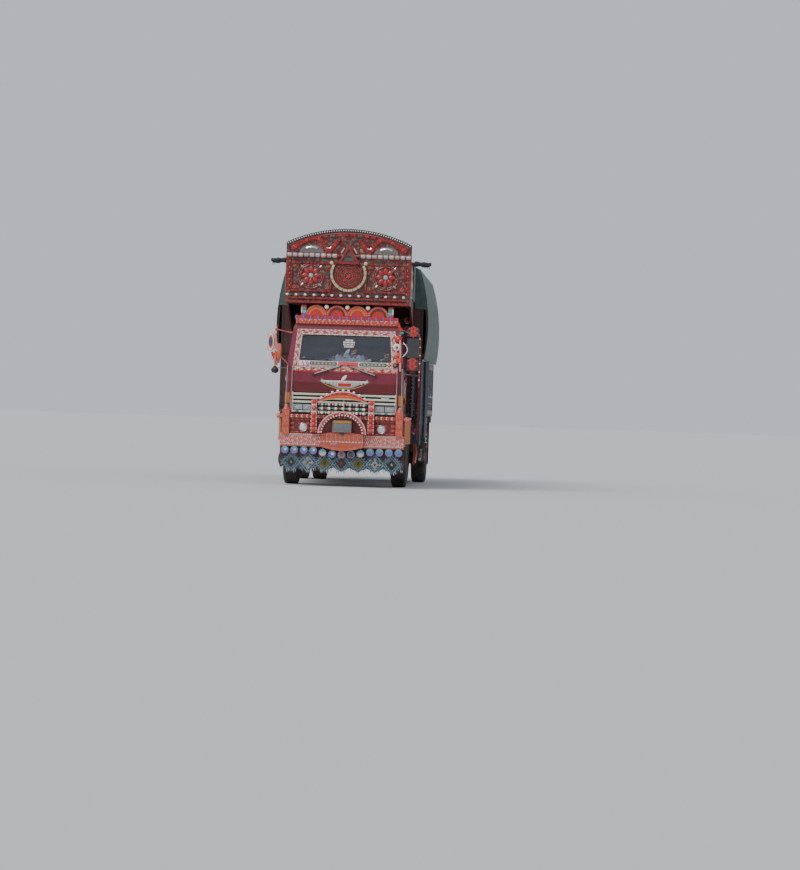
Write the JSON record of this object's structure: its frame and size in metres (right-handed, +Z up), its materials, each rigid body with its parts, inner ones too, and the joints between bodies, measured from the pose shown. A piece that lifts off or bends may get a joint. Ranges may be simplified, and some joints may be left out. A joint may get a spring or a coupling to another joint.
{
  "type": "decorated two-axle truck",
  "caption": "Forward-control two-axle truck with an ornate crown over the cab, a decorated bumper with a bead net, boarded load body and a tarpaulin on bows.",
  "frame": {"origin": "on the ground under the middle of the whole truck", "axes": "+Z up, the truck faces -Y, +X is its own left side"},
  "size_m": [2.72, 8.8, 4.3099],
  "materials": {
    "frame_paint": "worn satin black",
    "engine_iron": "oily cast iron",
    "tank_paint": "dusty grey paint",
    "tyre": "dusty black rubber",
    "cab_paint": "gloss maroon paint",
    "glass": "clear, faintly tinted",
    "dash_plastic": "dark grained plastic",
    "seat_cloth": "woven seat cover",
    "grille_paint": "cream gloss paint",
    "lamp_lens": "clear lamp lens",
    "ornament_red": "red and coral tape and paint",
    "chrome": "worn chrome",
    "reflector": "moulded reflector",
    "beads": "strung glass and plastic beads",
    "crown_paint": "embossed and painted sheet metal",
    "body_wood": "painted boards",
    "deck_wood": "worn bare boards",
    "bow_steel": "dark painted tube",
    "canvas": "waxed green canvas",
    "flap_rubber": "black sheet rubber"
  },
  "bodies": {
    "chassis": {"chassis_frame": "frame_paint", "cross_members": "frame_paint", "leaf_springs": "frame_paint", "front_axle": "frame_paint", "rear_axle": "frame_paint", "propeller_shaft": "frame_paint", "engine_block": "engine_iron", "tanks": "tank_paint", "exhaust": "engine_iron", "cab_floor": "cab_paint", "cab_front": "cab_paint", "cab_shell": "cab_paint", "windscreen": "glass", "dashboard": "dash_plastic", "seats": "seat_cloth", "grille": "grille_paint", "lamps": "lamp_lens", "sun_visor": "ornament_red", "wipers": "chrome", "front_bumper": "ornament_red", "bull_bar": "ornament_red", "reflector_discs": "reflector", "fringes": "beads", "front_mudguards": "frame_paint", "mirrors": "ornament_red", "stay_rods": "chrome", "crown": "crown_paint", "body_front_wall": "body_wood", "side_wall_left": "body_wood", "side_wall_right": "body_wood", "load_deck": "deck_wood", "deck_bearers": "deck_wood", "tarp_bows": "bow_steel", "tarp_poles": "bow_steel", "tarpaulin": "canvas", "rear_mudguards": "flap_rubber", "side_lockers": "body_wood"},
    "knuckle_left": {"knuckle_left": "frame_paint"},
    "knuckle_right": {"knuckle_right": "frame_paint"},
    "tie_rod": {"tie_rod": "frame_paint"},
    "front_wheel_left": {"front_wheel_left": "tyre"},
    "front_wheel_right": {"front_wheel_right": "tyre"},
    "rear_wheels_left": {"rear_wheels_left": "tyre"},
    "rear_wheels_right": {"rear_wheels_right": "tyre"},
    "door_left": {"door_left": "cab_paint", "door_glass_left": "glass"},
    "door_right": {"door_right": "cab_paint", "door_glass_right": "glass"},
    "tailgate": {"tailgate": "body_wood"}
  },
  "joints": [
    {"name": "steer_left", "type": "hinge", "parent": "chassis", "child": "knuckle_left", "pos_m": [0.78, -2.86, 0.52], "axis": [0, 0, 1], "range_deg": [-35, 35]},
    {"name": "front_wheel_spin_left", "type": "hinge", "parent": "knuckle_left", "child": "front_wheel_left", "pos_m": [0.915, -2.86, 0.52], "axis": [1, 0, 0], "continuous": true},
    {"name": "rear_wheels_spin_left", "type": "hinge", "parent": "chassis", "child": "rear_wheels_left", "pos_m": [0.91, 2.04, 0.52], "axis": [1, 0, 0], "continuous": true},
    {"name": "door_left_hinge", "type": "hinge", "parent": "chassis", "child": "door_left", "pos_m": [1.002, -3.8, 1.9], "axis": [0, 0, -1], "range_deg": [0, 65]},
    {"name": "steer_right", "type": "hinge", "parent": "chassis", "child": "knuckle_right", "pos_m": [-0.78, -2.86, 0.52], "axis": [0, 0, 1], "range_deg": [-35, 35]},
    {"name": "front_wheel_spin_right", "type": "hinge", "parent": "knuckle_right", "child": "front_wheel_right", "pos_m": [-0.915, -2.86, 0.52], "axis": [1, 0, 0], "continuous": true},
    {"name": "rear_wheels_spin_right", "type": "hinge", "parent": "chassis", "child": "rear_wheels_right", "pos_m": [-0.91, 2.04, 0.52], "axis": [1, 0, 0], "continuous": true},
    {"name": "door_right_hinge", "type": "hinge", "parent": "chassis", "child": "door_right", "pos_m": [-1.002, -3.8, 1.9], "axis": [0, 0, 1], "range_deg": [0, 65]},
    {"name": "tie_rod_pivot", "type": "hinge", "parent": "knuckle_left", "child": "tie_rod", "pos_m": [0.78, -2.7, 0.4265], "axis": [0, 0, 1], "range_deg": [-35, 35]},
    {"name": "tailgate_hinge", "type": "hinge", "parent": "chassis", "child": "tailgate", "pos_m": [0, 4.386, 1.24], "axis": [-1, 0, 0], "range_deg": [0, 170]}
  ],
  "couplings": [
    {"joint": "steer_right", "follows": "steer_left", "ratio": 1},
    {"joint": "tie_rod_pivot", "follows": "steer_left", "ratio": -1}
  ]
}
